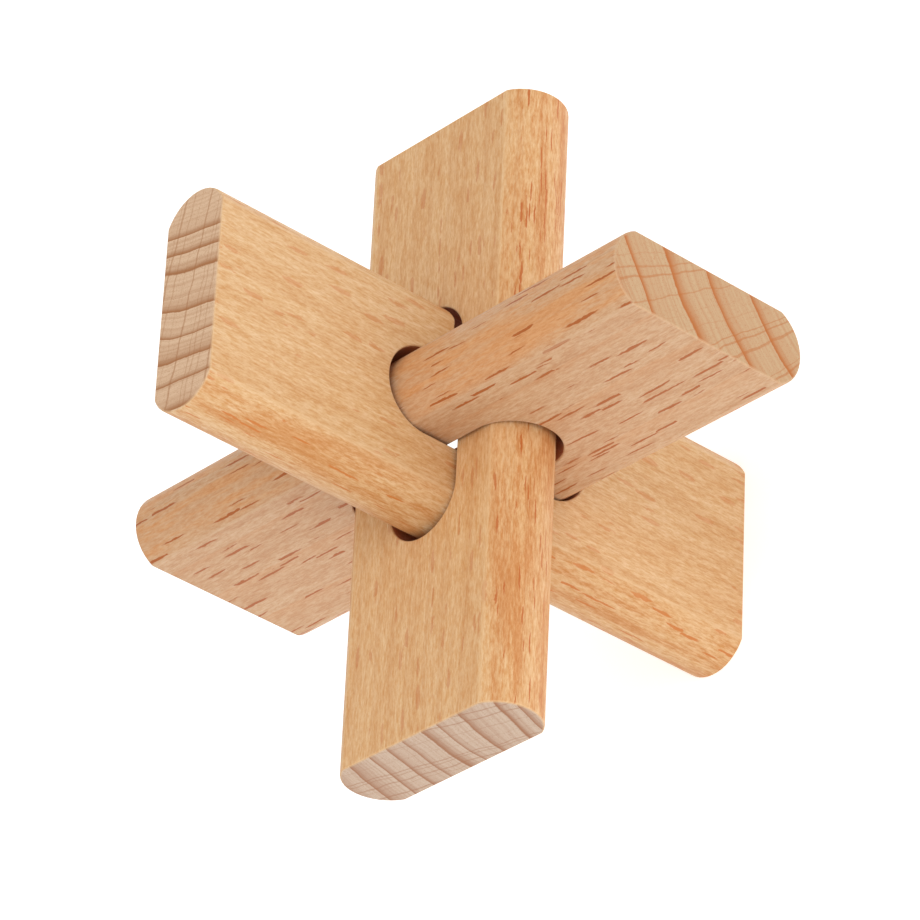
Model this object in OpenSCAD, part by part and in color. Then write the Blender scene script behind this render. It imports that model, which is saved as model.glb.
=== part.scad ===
// Three-board burr puzzle. Three equal beech boards lie square to each other, and each one
// passes through a window in the next, so that none of them seems free to leave.
// The upright board stands on its lower end, the key board runs along X and the cross board along Y.

/* [Boards] */
// Length of each board
board_l = 70; // [56:1:100]
// Width of each board over its two bowed edges
board_w = 24.6; // [20:0.1:25]
// Thickness of each board
board_t = 8.2; // [8:0.1:10]
// How far each narrow edge bows out past its arrises
edge_bow = 2.6; // [1:0.1:3.2]
// Chamfer round each end
end_ease = 0.5; // [0.2:0.1:1]

/* [Windows] */
// Spare room across a window, beside the board that passes through it
slot_play = 1.25; // [0.8:0.05:1.8]
// Spare room between the round end of a window and a board's arris
end_play = 0.3; // [0.15:0.05:0.6]
// How far each board sits off the middle of the window that it passes through
seat = 0.3; // [0:0.05:0.35]

/* [Hidden cuts] */
// Spare room for a rail in the narrow gap of the key board
gap_play = 0.3; // [0.2:0.05:0.5]

/* [Hidden] */
$fn = 96;
// Lets a cut run clear of the face that it goes through
over = 1;
// Height of the middle, where the three boards cross
mid_h = board_l / 2;
// Radius of a bowed edge, and half the width of a board between its arrises
edge_r = (pow(board_t / 2, 2) + pow(edge_bow, 2)) / (2 * edge_bow);
arris = board_w / 2 - edge_bow;
// A window is a slot with round ends, centred at half_slot each side of the middle. Its length
// comes from the arris nearest its wall, which is where a board meets the round end first.
window_w = board_t + slot_play;
half_slot = arris + end_play - sqrt(pow(window_w / 2, 2) - pow(board_t / 2 + seat, 2));
// What is left of a board on each side of its window
rail_w = (board_w - window_w) / 2;
// The upright's gap lets the key board through. The key's own gap takes only a rail. It is
// narrower than a board, which keeps the cross board out of it and hides it inside that board.
wide_gap = window_w;
narrow_gap = rail_w + gap_play;

// Across a board: two flat faces and two bowed edges
module board_section() {
    intersection() {
        square([board_w + 2 * over, board_t], center = true);
        union() {
            square([board_w - 2 * edge_r, board_t], center = true);
            for (side = [-1, 1])
                translate([side * (board_w / 2 - edge_r), 0])
                    circle(r = edge_r);
        }
    }
}

// Seen square on, a board's outline: cut to length, with its four corners chamfered.
// The sides lie clear of the board, so that only the ends are trimmed.
module end_trim(width) {
    x = board_l / 2;
    y = width / 2;
    polygon([
        for (corner = [[1, 1], [-1, 1], [-1, -1], [1, -1]])
            let (
                on_end = [corner.x * x, corner.y * (y - end_ease)],
                clear = [corner.x * (x - end_ease - over), corner.y * (y + over)]
            )
            each corner.x * corner.y > 0 ? [on_end, clear] : [clear, on_end]
    ]);
}

// A slot with round ends, right through a board
module window() {
    linear_extrude(board_t + 2 * over, center = true)
        union() {
            square([2 * half_slot, window_w], center = true);
            for (end = [-1, 1])
                translate([end * half_slot, 0])
                    circle(d = window_w);
        }
}

// A gap through the rail on the board's -Y side, in line with the board that passes there
module rail_gap(gap) {
    reach = rail_w + 2 * over;
    translate([seat, -window_w / 2 + over - reach / 2, 0])
        cube([gap, reach, board_t + 2 * over], center = true);
}

// A board along X, wide along Y and thick along Z, with its window and a gap in one rail
module board(gap = 0) {
    difference() {
        intersection() {
            rotate([90, 0, 90])
                linear_extrude(board_l, center = true)
                    board_section();
            linear_extrude(board_t + 2 * over, center = true)
                end_trim(board_w);
            rotate([90, 0, 0])
                linear_extrude(board_w + 2 * over, center = true)
                    end_trim(board_t);
        }
        window();
        if (gap > 0)
            rail_gap(gap);
    }
}

// Turns X to Y, Y to Z and Z to X
module turn() {
    rotate([90, 0, 90])
        children();
}

// Long along Z and wide along X, and the only board that stands on anything
module upright_board() {
    color("#e4b880")
        translate([0, 0, mid_h])
            turn()
                turn()
                    translate([0, 0, seat])
                        board(wide_gap);
}

// Long along X, round the upright's rails, and the first board to slide
module key_board() {
    color("#e0b47e")
        translate([0, 0, mid_h + seat])
            board(narrow_gap);
}

// Long along Y, through the upright's window and round the key board: the only whole one
module cross_board() {
    color("#d6aa82")
        translate([0, 0, mid_h])
            turn()
                translate([0, 0, seat])
                    board();
}

upright_board();
key_board();
cross_board();
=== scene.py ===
from math import asin, cos, hypot, pi, radians, sin, sqrt

import bmesh
import bpy
from mathutils import Euler, Matrix, Quaternion, Vector


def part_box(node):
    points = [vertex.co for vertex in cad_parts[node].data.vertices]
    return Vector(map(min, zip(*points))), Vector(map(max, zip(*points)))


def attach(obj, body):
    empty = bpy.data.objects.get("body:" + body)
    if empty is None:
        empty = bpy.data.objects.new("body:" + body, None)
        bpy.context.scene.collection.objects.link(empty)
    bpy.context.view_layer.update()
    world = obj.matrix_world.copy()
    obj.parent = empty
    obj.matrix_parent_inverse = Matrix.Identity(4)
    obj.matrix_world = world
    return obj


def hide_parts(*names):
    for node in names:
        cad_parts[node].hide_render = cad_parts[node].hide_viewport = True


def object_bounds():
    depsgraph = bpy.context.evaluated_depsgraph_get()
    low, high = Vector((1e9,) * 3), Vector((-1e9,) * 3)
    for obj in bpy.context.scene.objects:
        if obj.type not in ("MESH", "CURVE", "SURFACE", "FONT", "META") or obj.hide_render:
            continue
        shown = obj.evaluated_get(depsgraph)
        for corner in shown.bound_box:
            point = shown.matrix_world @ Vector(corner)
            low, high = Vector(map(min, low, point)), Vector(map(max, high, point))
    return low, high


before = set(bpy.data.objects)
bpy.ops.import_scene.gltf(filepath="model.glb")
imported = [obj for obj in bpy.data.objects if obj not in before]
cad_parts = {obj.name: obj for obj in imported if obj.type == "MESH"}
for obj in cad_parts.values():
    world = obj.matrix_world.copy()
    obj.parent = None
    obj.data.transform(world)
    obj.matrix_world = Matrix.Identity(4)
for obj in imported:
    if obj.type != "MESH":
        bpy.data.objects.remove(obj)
cad_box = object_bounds()

# ---------------------------------------------------------------- the view
# A burr is looked at down its long diagonal, so that an end of each board points at the viewer.
# The view is rolled over until the upright board leans to the upper left.
middle = Vector([(low + high) / 2 for low, high in zip(*cad_box)])
view_round = radians(50.9)
view_up = radians(33.9)
view_roll = radians(-62.8)
view_away = 0.574
towards_viewer = Vector((cos(view_up) * cos(view_round), cos(view_up) * sin(view_round), sin(view_up)))
upright_look = towards_viewer.to_track_quat("Z", "Y")
camera = bpy.data.objects.new("camera", bpy.data.cameras.new("camera"))
bpy.context.scene.collection.objects.link(camera)
camera.rotation_mode = "QUATERNION"
camera.rotation_quaternion = upright_look @ Quaternion((0, 0, 1), view_roll)
camera.location = middle + towards_viewer * view_away
camera.data.sensor_width = 36
camera.data.lens = 229
camera.data.shift_x = 0.001
camera.data.shift_y = -0.022
bpy.context.scene.camera = camera
bpy.context.scene.view_settings.view_transform = "Standard"

# ---------------------------------------------------------------- the upright board
# A flat beech stick with both narrow edges moulded to a shallow round and a window routed through
# its middle. The rail on one side of the window is sawn through, so that the key can slide.
# Nothing holds it but the other two boards.
low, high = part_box("upright_board")
thick, width, length = sorted(b - a for a, b in zip(low, high))
edge_bow = 0.0026
# Spare room across the window, at its round ends and for a rail in the key's gap. seat is how far
# each board sits off the middle of the window that it passes through.
slot_play = 0.00125
end_play = 0.0003
gap_play = 0.0003
seat = 0.0003
arris = width / 2 - edge_bow
edge_radius = ((thick / 2) ** 2 + edge_bow**2) / (2 * edge_bow)
slot_radius = (thick + slot_play) / 2
half_slot = arris + end_play - sqrt(slot_radius**2 - (thick / 2 + seat) ** 2)
rail = width / 2 - slot_radius


def board_outline(gap, arc_steps=16):
    """The flat outline of a board between its arrises, with its window and a gap in one rail."""
    weld = 1e-6
    bm = bmesh.new()
    tip = bm.verts.new((half_slot + slot_radius, 0, 0))
    turned = bmesh.ops.spin(bm, geom=[tip], cent=(half_slot, 0, 0), axis=(0, 0, 1), angle=pi / 2,
                            steps=arc_steps)
    side = turned["geom_last"][0]
    square = [bm.verts.new(place) for place in
              ((0, slot_radius, 0), (0, arris, 0), (length / 2, arris, 0), (length / 2, 0, 0))]
    for a, b in zip([side] + square, square + [tip]):
        bm.edges.new((a, b))
    bmesh.ops.contextual_create(bm, geom=bm.edges[:])
    for axis in ("X", "Y"):
        bmesh.ops.mirror(bm, geom=bm.verts[:] + bm.edges[:] + bm.faces[:], axis=axis, merge_dist=weld)
    if gap:
        for wall in (seat - gap / 2, seat + gap / 2):
            faces = [f for f in bm.faces if f.calc_center_median().y < 0]
            rail_parts = {part for f in faces for part in (f, *f.edges, *f.verts)}
            bmesh.ops.bisect_plane(bm, geom=list(rail_parts), dist=weld / 10, plane_co=(wall, 0, 0),
                                   plane_no=(1, 0, 0))
        sawn_out = [f for f in bm.faces if f.calc_center_median().y < 0
                    and all(abs(v.co.x - seat) < gap / 2 + weld for v in f.verts)]
        bmesh.ops.delete(bm, geom=sawn_out, context="FACES")
    return bm


def mould_edges(bm, steps=16):
    """Carries the outline through the thickness while its long edges bow out and back in."""
    mid_rail = (slot_radius + arris) / 2
    for v in bm.verts:
        v.co.z = thick / 2
    region = bm.faces[:]
    for step in range(1, steps + 1):
        swing = asin(thick / 2 / edge_radius) * (1 - 2 * step / steps)
        moved = bmesh.ops.extrude_face_region(bm, geom=region)["geom"]
        if step > 1:
            bmesh.ops.delete(bm, geom=region, context="FACES")
        region = [part for part in moved if isinstance(part, bmesh.types.BMFace)]
        for v in moved:
            if isinstance(v, bmesh.types.BMVert):
                v.co.z = edge_radius * sin(swing)
                if abs(v.co.y) > mid_rail:
                    bowed = width / 2 - edge_radius * (1 - cos(swing))
                    v.co.y = bowed if v.co.y > 0 else -bowed
    bmesh.ops.recalc_face_normals(bm, faces=bm.faces[:])


def ease_corners(bm, ease=0.00022, corner_angle=radians(12), wall_skin=0.00001):
    """Rounds every sawn corner as sandpaper does, and marks the middles of the rounded corners for a pale
    mark, partly wear and partly a painted highlight, and the routed walls for painted shade.
    """
    wear_and_highlight = bm.verts.layers.float.new("wear_and_highlight")
    routed = bm.verts.layers.float.new("routed")
    sharp = [e for e in bm.edges if e.is_manifold and e.calc_face_angle() > corner_angle]
    eased = bmesh.ops.bevel(bm, geom=sharp, offset=ease, offset_type="OFFSET", affect="EDGES",
                            segments=4, profile=0.5, material=-1, clamp_overlap=True)
    soft = set(eased["faces"])
    # The middles of the rounded corners are marked for a pale mark, partly wear and partly a painted
    # highlight.
    for v in eased["verts"]:
        v[wear_and_highlight] = 1.0 if all(f in soft for f in v.link_faces) else 0.0
    # The routed walls of the window are marked for the painted shade inside the window.
    for v in bm.verts:
        from_axis = hypot(max(0.0, abs(v.co.x) - half_slot), v.co.y)
        v[routed] = 1.0 if from_axis < slot_radius + wall_skin else 0.0


def make_board(node, body, turns, gap=0.0):
    """A finished board in place of the CAD one, lying along X before its quarter turns."""
    low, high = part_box(node)
    centre = Vector([(a + b) / 2 for a, b in zip(low, high)])
    bm = board_outline(gap)
    mould_edges(bm)
    ease_corners(bm)
    x_to_y_to_z = Euler((pi / 2, 0, pi / 2)).to_matrix()
    facing = Matrix.Identity(3)
    for _ in range(turns):
        facing = x_to_y_to_z @ facing
    bmesh.ops.transform(bm, matrix=Matrix.Translation(centre) @ facing.to_4x4(), verts=bm.verts[:])
    for face in bm.faces:
        face.smooth = True
    mesh = bpy.data.meshes.new(node + "_wood")
    bm.to_mesh(mesh)
    bm.free()
    board = bpy.data.objects.new(node + "_wood", mesh)
    bpy.context.scene.collection.objects.link(board)
    even = board.modifiers.new("even shading", "WEIGHTED_NORMAL")
    even.weight = 80
    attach(board, body)
    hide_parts(node)
    return board, centre, facing


def put(tree, kind, *inputs, out=0, **settings):
    """A shader node with its sockets filled in order, by a value or by another node's output."""
    node = tree.nodes.new(kind)
    for name, value in settings.items():
        setattr(node, name, value)
    for socket, value in zip(node.inputs, inputs):
        if isinstance(value, bpy.types.NodeSocket):
            tree.links.new(value, socket)
        elif value is not None:
            socket.default_value = value
    return node.outputs[out]


def calc(tree, operation, *inputs):
    """A sum on single numbers."""
    return put(tree, "ShaderNodeMath", *inputs, operation=operation)


def vector(tree, operation, *inputs, out=0):
    """A sum on vectors. A length or a dot product comes out at socket 1."""
    return put(tree, "ShaderNodeVectorMath", *inputs, operation=operation, out=out)


def ramp(tree, value, start, end, low=0.0, high=1.0):
    """value from start to end becomes low to high, easing in and out."""
    return put(tree, "ShaderNodeMapRange", value, start, end, low, high, interpolation_type="SMOOTHSTEP")


def noise(tree, spot, per_mm, detail, rough):
    """Soft noise with about per_mm grains to the millimetre along X, Y and Z."""
    return put(tree, "ShaderNodeTexNoise", vector(tree, "MULTIPLY", spot, per_mm), None, 1.0, detail, rough)


def noise_line(tree, distance, per_mm, detail, rough):
    """The same along one distance only, for lines that run on sideways."""
    return put(tree, "ShaderNodeTexNoise", None, calc(tree, "MULTIPLY", distance, per_mm), 1.0, detail,
               rough, noise_dimensions="1D")


def stain(tree, amount, under, over, blend="MIX"):
    """under with over laid on it by amount."""
    node = tree.nodes.new("ShaderNodeMix")
    node.data_type = "RGBA"
    node.blend_type = blend
    factor, first_colour, second_colour, mixed_colour = 0, 6, 7, 2
    for index, value in ((factor, amount), (first_colour, under), (second_colour, over)):
        if isinstance(value, bpy.types.NodeSocket):
            tree.links.new(value, node.inputs[index])
        else:
            node.inputs[index].default_value = value
    return node.outputs[mixed_colour]


def new_group(name, inputs, outputs):
    """An empty shader group, and its inputs by name. inputs are (name, kind, default)."""
    tree = bpy.data.node_groups.new(name, "ShaderNodeTree")
    for label, kind, default in inputs:
        socket = tree.interface.new_socket(label, in_out="INPUT", socket_type="NodeSocket" + kind)
        socket.default_value = default
    for label, kind in outputs:
        tree.interface.new_socket(label, in_out="OUTPUT", socket_type="NodeSocket" + kind)
    sockets = tree.nodes.new("NodeGroupInput").outputs
    return tree, {label: sockets[label] for label, _, _ in inputs}, tree.nodes.new("NodeGroupOutput").inputs


def shade(code):
    """A colour for a shader from the six-figure code a paint chart gives."""
    parts = [int(code[i:i + 2], 16) / 255 for i in (0, 2, 4)]
    return [c / 12.92 if c < 0.04045 else ((c + 0.055) / 1.055) ** 2.4 for c in parts] + [1]


# How beech is built: rings round the pith, and rays that run out across them as thin short sheets.
# A ray shows as a crisp dash where it is cut across, as a soft fleck where it is cut flat, and as a
# hairline on a sawn end. Everything is in millimetres, with X along the grain.
figure, grown, shown = new_group(
    "beech figure",
    [("Place", "Vector", (0, 0, 0)), ("Pith", "Vector", (0, -60, 0)), ("Ring Width", "Float", 2.7),
     ("Ray Length", "Float", 3.0), ("Ray Height", "Float", 1.3), ("Ray Spread", "Float", 0.9),
     ("Ray Share", "Float", 0.5)],
    [("Ring", "Float"), ("Band", "Float"), ("Ray", "Float"), ("Hairline", "Float"), ("Fibre", "Float"),
     ("Cloud", "Float"), ("Pore", "Float")])
place = grown["Place"]
drift = noise(figure, place, per_mm=(0.012, 0.05, 0.05), detail=3.0, rough=0.5)
ripple = noise(figure, place, per_mm=(1.1, 2.6, 2.6), detail=2.0, rough=0.6)
from_pith = vector(figure, "SUBTRACT", place, grown["Pith"])
across = put(figure, "ShaderNodeSeparateXYZ", from_pith)
across_y, across_z = across.node.outputs[1], across.node.outputs[2]
reach = calc(figure, "SQRT", calc(figure, "ADD", calc(figure, "MULTIPLY", across_y, across_y),
                                  calc(figure, "MULTIPLY", across_z, across_z)))

# The rings wander, wide in good years and narrow in bad ones. Each darkens slowly at first and fast
# towards autumn, and then drops back to the pale wood of spring at once.
wander = 4.0
years_vary = 3.0
frayed = 0.05
late_wood = 0.68
spring = 0.965
reach = calc(figure, "MULTIPLY_ADD", drift, wander, reach)
good_and_bad_years = noise_line(figure, reach, per_mm=0.22, detail=1.0, rough=0.5)
years = calc(figure, "DIVIDE", calc(figure, "MULTIPLY_ADD", good_and_bad_years, years_vary, reach),
             grown["Ring Width"])
years = calc(figure, "MULTIPLY_ADD", ripple, frayed, years)
season = calc(figure, "FRACT", years)
autumn = calc(figure, "MULTIPLY_ADD", calc(figure, "POWER", season, 6.0), late_wood,
              calc(figure, "MULTIPLY", calc(figure, "MULTIPLY", season, season), 1 - late_wood))
ring = calc(figure, "MULTIPLY", autumn, ramp(figure, season, start=1.0, end=spring))
figure.links.new(ring, shown["Ring"])
bands = noise_line(figure, reach, per_mm=2.4, detail=2.0, rough=0.6)
figure.links.new(ramp(figure, bands, start=0.35, end=0.75), shown["Band"])

# Rays stand in a grid of cells along the grain, round the pith and out from it, one lens to a cell.
# A lens is as large as its cell's random size, and cells with a small one are left empty.
pith_away = vector(figure, "LENGTH", vector(figure, "MULTIPLY", grown["Pith"], (0, 1, 1)), out=1)
round_pith = calc(figure, "MULTIPLY", calc(figure, "ARCTAN2", across_z, across_y), pith_away)
along = put(figure, "ShaderNodeSeparateXYZ", place)
sway = noise(figure, place, per_mm=(0.05, 0.3, 0.3), detail=2.0, rough=0.5)
swayed = calc(figure, "ADD", sway, round_pith)
ray_ripple = 0.2
ray_fray = 0.3
sized = 0.6
rippled = calc(figure, "MULTIPLY_ADD", ripple, ray_ripple, swayed)
sheet = put(figure, "ShaderNodeCombineXYZ",
            calc(figure, "DIVIDE", along, grown["Ray Length"]),
            calc(figure, "DIVIDE", rippled, grown["Ray Spread"]),
            calc(figure, "DIVIDE", reach, grown["Ray Height"]))
cells = put(figure, "ShaderNodeTexVoronoi", sheet, None, 1.0)
lens_shape = (1.5, 7.4, 3.0)
lens = vector(figure, "MULTIPLY", vector(figure, "SUBTRACT", sheet, cells.node.outputs["Position"]),
              lens_shape)
ray_size = put(figure, "ShaderNodeSeparateXYZ", cells.node.outputs["Color"])
smallest = calc(figure, "SUBTRACT", 1.0, grown["Ray Share"])
full_size = calc(figure, "MULTIPLY_ADD", grown["Ray Share"], sized, smallest)
ray_size = ramp(figure, ray_size, smallest, full_size)
lens_edge = calc(figure, "SUBTRACT", ray_size, vector(figure, "LENGTH", lens, out=1))
lens_edge = calc(figure, "MULTIPLY_ADD", ripple, ray_fray, lens_edge)
figure.links.new(ramp(figure, lens_edge, start=0.1, end=0.4), shown["Ray"])
hairlines = noise_line(figure, swayed, per_mm=2.1, detail=1.0, rough=0.5)
figure.links.new(ramp(figure, hairlines, start=0.6, end=0.74), shown["Hairline"])

# Fibre is the fine grain, cloud the long streaks of colour, and pores the finest dots and scratches.
fibre = noise(figure, place, per_mm=(0.9, 4.5, 4.5), detail=5.0, rough=0.75)
figure.links.new(fibre, shown["Fibre"])
cloud = noise(figure, place, per_mm=(0.055, 0.6, 0.6), detail=5.0, rough=0.68)
figure.links.new(cloud, shown["Cloud"])
pores = noise(figure, place, per_mm=(1.1, 9.0, 9.0), detail=1.0, rough=0.5)
figure.links.new(ramp(figure, pores, start=0.55, end=0.72), shown["Pore"])

# How it is finished: sanded faces in a clear satin oil, sawn ends that drink it and go greyer, walls of
# the window painted dark reddish brown as painted shade, and corners painted pale as wear and painted
# highlight.
finish, raw, dried = new_group(
    "oiled beech",
    [("Ring", "Float", 0), ("Band", "Float", 0), ("Ray", "Float", 0), ("Hairline", "Float", 0),
     ("Fibre", "Float", 0.5), ("Cloud", "Float", 0.5), ("Pore", "Float", 0), ("End", "Float", 0),
     ("Edge", "Float", 0), ("Wear_And_Highlight", "Float", 0), ("Routed", "Float", 0),
     ("Pale", "Color", (1, 1, 1, 1)), ("Grain Tint", "Color", (1, 1, 1, 1)),
     ("Edge Colour", "Color", (1, 1, 1, 1)), ("Ring Colour", "Color", (1, 1, 1, 1)),
     ("Ray Colour", "Color", (1, 1, 1, 1)), ("End Pale", "Color", (1, 1, 1, 1)),
     ("End Ring", "Color", (1, 1, 1, 1)), ("Window Shade Colour", "Color", shade("a84a24")),
     ("Ring Strength", "Float", 0.3), ("Fleck Strength", "Float", 0.4), ("Dash Strength", "Float", 0.9)],
    [("Color", "Color"), ("Roughness", "Float"), ("Height", "Float")])

# The sanded faces: orange streaks on the moulded edges, then grain, rings, pores and rays.
streak_fray = 0.3
cloudy = 0.35
pore_on_face = 0.25
streak = calc(finish, "MULTIPLY_ADD", raw["Fibre"], streak_fray, raw["Cloud"])
streak = ramp(finish, streak, start=0.56, end=0.76, low=0.1, high=0.9)
face = stain(finish, calc(finish, "MULTIPLY", raw["Edge"], streak), raw["Pale"], raw["Edge Colour"])
grain_lines = ramp(finish, raw["Fibre"], start=0.31, end=0.69)
face = stain(finish, grain_lines, face, raw["Grain Tint"], "MULTIPLY")
clouds = calc(finish, "MULTIPLY", ramp(finish, raw["Cloud"], start=0.4, end=0.65), cloudy)
face = stain(finish, clouds, face, raw["Grain Tint"], "MULTIPLY")
face = stain(finish, calc(finish, "MULTIPLY", raw["Ring"], raw["Ring Strength"]), face, raw["Ring Colour"])
face = stain(finish, calc(finish, "MULTIPLY", raw["Pore"], pore_on_face), face, raw["Ring Colour"])
cut = put(finish, "ShaderNodeMapRange", raw["Edge"], 0.0, 1.0, raw["Fleck Strength"], raw["Dash Strength"])
face = stain(finish, calc(finish, "MULTIPLY", raw["Ray"], cut), face, raw["Ray Colour"])

# The sawn ends: pores, thin bands, hairlines of the rays and rings, all in the one darker tone.
pore_on_end = 0.4
band_on_end = 0.3
hairline_on_end = 0.5
sawn = stain(finish, calc(finish, "MULTIPLY", raw["Pore"], pore_on_end), raw["End Pale"], raw["End Ring"])
sawn = stain(finish, calc(finish, "MULTIPLY", raw["Band"], band_on_end), sawn, raw["End Ring"])
sawn = stain(finish, calc(finish, "MULTIPLY", raw["Hairline"], hairline_on_end), sawn, raw["End Ring"])
sawn = stain(finish, ramp(finish, raw["Ring"], start=-0.15, end=0.95), sawn, raw["End Ring"])

# Both together, with the pale wear and painted highlight on the corners and the painted shade on the window
# walls, and then the sheen and the relief.
pale_wear_and_highlight = 0.35
window_shade = 0.7
colour = stain(finish, raw["End"], face, sawn)
# Painted pale on the middles of the rounded corners: partly wear, partly a painted highlight along every
# corner.
colour = stain(finish, calc(finish, "MULTIPLY", raw["Wear_And_Highlight"], pale_wear_and_highlight), colour, raw["Pale"])
# Painted shade: the window walls go a dark reddish brown, standing in for the shade inside the window and
# at its seams.
colour = stain(finish, calc(finish, "MULTIPLY", raw["Routed"], window_shade), colour, raw["Window Shade Colour"])
finish.links.new(colour, dried["Color"])
satin = 0.42
fibre_dulls = 0.16
end_dulls = 0.22
rough = calc(finish, "MULTIPLY_ADD", raw["Fibre"], fibre_dulls, satin)
rough = calc(finish, "MULTIPLY_ADD", raw["End"], end_dulls, rough)
finish.links.new(rough, dried["Roughness"])
pore_depth = 0.8
ray_depth = 0.5
bumps = calc(finish, "MULTIPLY_ADD", raw["Pore"], -pore_depth, raw["Fibre"])
bumps = calc(finish, "MULTIPLY_ADD", raw["Ray"], -ray_depth, bumps)
finish.links.new(bumps, dried["Height"])


def beech(name, board, centre, facing, growth, colours):
    """Beech for one board. growth and colours fill the two groups' inputs by name."""
    mm_in_a_metre = (1000, 1000, 1000)
    material = bpy.data.materials.new(name)
    material.use_nodes = True
    tree = material.node_tree
    shader = tree.nodes["Principled BSDF"]
    spot = tree.nodes.new("ShaderNodeTexCoord")
    laid = put(tree, "ShaderNodeMapping", spot.outputs["Object"], centre, facing.to_euler(),
               vector_type="TEXTURE")
    grain = tree.nodes.new("ShaderNodeGroup")
    grain.node_tree = figure
    tree.links.new(vector(tree, "MULTIPLY", laid, mm_in_a_metre), grain.inputs["Place"])
    for label, value in growth.items():
        grain.inputs[label].default_value = value
    coat = tree.nodes.new("ShaderNodeGroup")
    coat.node_tree = finish
    for label in ("Ring", "Band", "Ray", "Hairline", "Fibre", "Cloud", "Pore"):
        tree.links.new(grain.outputs[label], coat.inputs[label])
    for label, value in colours.items():
        coat.inputs[label].default_value = value
    lengthwise = vector(tree, "DOT_PRODUCT", spot.outputs["Normal"], facing.col[0], out=1)
    lengthwise = calc(tree, "ABSOLUTE", lengthwise)
    tree.links.new(ramp(tree, lengthwise, start=0.55, end=0.85), coat.inputs["End"])
    flatwise = vector(tree, "DOT_PRODUCT", spot.outputs["Normal"], facing.col[2], out=1)
    flatwise = calc(tree, "ABSOLUTE", flatwise)
    tree.links.new(ramp(tree, flatwise, start=0.97, end=0.7), coat.inputs["Edge"])
    # The corner mark carries pale wear and a painted highlight, and the routed mark carries painted shade.
    for label in ("Wear_And_Highlight", "Routed"):
        worn = put(tree, "ShaderNodeAttribute", attribute_name=label.lower(), out=2)
        tree.links.new(worn, coat.inputs[label])
    tree.links.new(coat.outputs["Color"], shader.inputs["Base Color"])
    tree.links.new(coat.outputs["Roughness"], shader.inputs["Roughness"])
    relief = tree.nodes.new("ShaderNodeBump")
    relief.inputs["Strength"].default_value = 0.25
    relief.inputs["Distance"].default_value = 0.00008
    tree.links.new(coat.outputs["Height"], relief.inputs["Height"])
    tree.links.new(relief.outputs["Normal"], shader.inputs["Normal"])
    shader.inputs["IOR"].default_value = 1.45
    shader.inputs["Specular IOR Level"].default_value = 0.35
    board.data.materials.append(material)


upright, centre, facing = make_board("upright_board", "upright", 2, gap=2 * slot_radius)
beech("upright beech", upright, centre, facing,
      {"Pith": (0, -70, 14), "Ring Width": 2.8, "Ray Length": 2.6, "Ray Height": 1.2, "Ray Spread": 0.75,
       "Ray Share": 0.8},
      {"Pale": shade("dfbe94"), "Grain Tint": shade("e8cca4"), "Edge Colour": shade("d5a470"),
       "Ring Colour": shade("bf8248"), "Ray Colour": shade("c47434"), "End Pale": shade("dab998"),
       "End Ring": shade("a0683c"), "Ring Strength": 0.15, "Fleck Strength": 0.42, "Dash Strength": 0.9})

# ---------------------------------------------------------------- the key board
# The same stick from a paler plank. The upright stands in its window, and its own middle lies in
# the window of the cross board, which hides the gap sawn through one rail. That gap takes a rail
# and no more.
key, centre, facing = make_board("key_board", "key", 0, gap=rail + gap_play)
beech("key beech", key, centre, facing,
      {"Pith": (2, 75, -20), "Ring Width": 2.6, "Ray Length": 2.4, "Ray Height": 1.5, "Ray Spread": 0.7,
       "Ray Share": 0.85},
      {"Pale": shade("e4c092"), "Grain Tint": shade("e8cba6"), "Edge Colour": shade("daa570"),
       "Ring Colour": shade("bb7c48"), "Ray Colour": shade("bc6830"), "End Pale": shade("c8b19c"),
       "End Ring": shade("9c6a4a"), "Ring Strength": 0.2, "Fleck Strength": 0.42, "Dash Strength": 0.95})

# ---------------------------------------------------------------- the cross board
# Rift-sawn from a pinker plank, so that its rays show as crisp dashes. It passes through the
# upright and holds the key in its window, and it is the only board left whole.
cross, centre, facing = make_board("cross_board", "cross", 1)
beech("cross beech", cross, centre, facing,
      {"Pith": (0, -40, -27), "Ring Width": 4.6, "Ray Length": 3.7, "Ray Height": 1.3, "Ray Spread": 0.85,
       "Ray Share": 0.95},
      {"Pale": shade("d0b08e"), "Grain Tint": shade("e9d0ba"), "Edge Colour": shade("dfb07e"),
       "Ring Colour": shade("c58550"), "Ray Colour": shade("a65824"), "End Pale": shade("c2a47f"),
       "End Ring": shade("b2662c"), "Ring Strength": 0.35, "Fleck Strength": 0.95, "Dash Strength": 0.95})

# ---------------------------------------------------------------- the studio
# A white table that glows a little, under two broad soft boxes and an even white sky, so that
# shadows stay faint.
table_reach = 4
ground = bpy.data.meshes.new("table")
bm = bmesh.new()
bmesh.ops.create_grid(bm, x_segments=1, y_segments=1, size=table_reach)
bm.to_mesh(ground)
bm.free()
table = bpy.data.objects.new("table", ground)
bpy.context.scene.collection.objects.link(table)
white = bpy.data.materials.new("white table")
white.use_nodes = True
paint = white.node_tree.nodes["Principled BSDF"]
paint.inputs["Base Color"].default_value = shade("f4f4f4")
paint.inputs["Roughness"].default_value = 0.8
paint.inputs["Emission Color"].default_value = (1, 1, 1, 1)
paint.inputs["Emission Strength"].default_value = 0.45
ground.materials.append(white)

world = bpy.data.worlds.new("studio")
bpy.context.scene.world = world
world.use_nodes = True
sky = world.node_tree.nodes["Background"]
sky.inputs["Color"].default_value = (1, 1, 1, 1)
sky.inputs["Strength"].default_value = 0.76


def soft_light(name, spot, watts, size):
    """A square soft box at spot, turned to the middle of the puzzle."""
    light = bpy.data.objects.new(name, bpy.data.lights.new(name, "AREA"))
    light.data.energy = watts
    light.data.size = size
    light.location = middle + Vector(spot)
    light.rotation_euler = (-Vector(spot)).to_track_quat("-Z", "Y").to_euler()
    bpy.context.scene.collection.objects.link(light)


soft_light("key light", spot=(0.15, 0.6, 0.7), watts=2.4, size=0.6)
soft_light("fill light", spot=(0.65, 0.1, 0.7), watts=1.4, size=0.8)

bpy.context.view_layer.update()
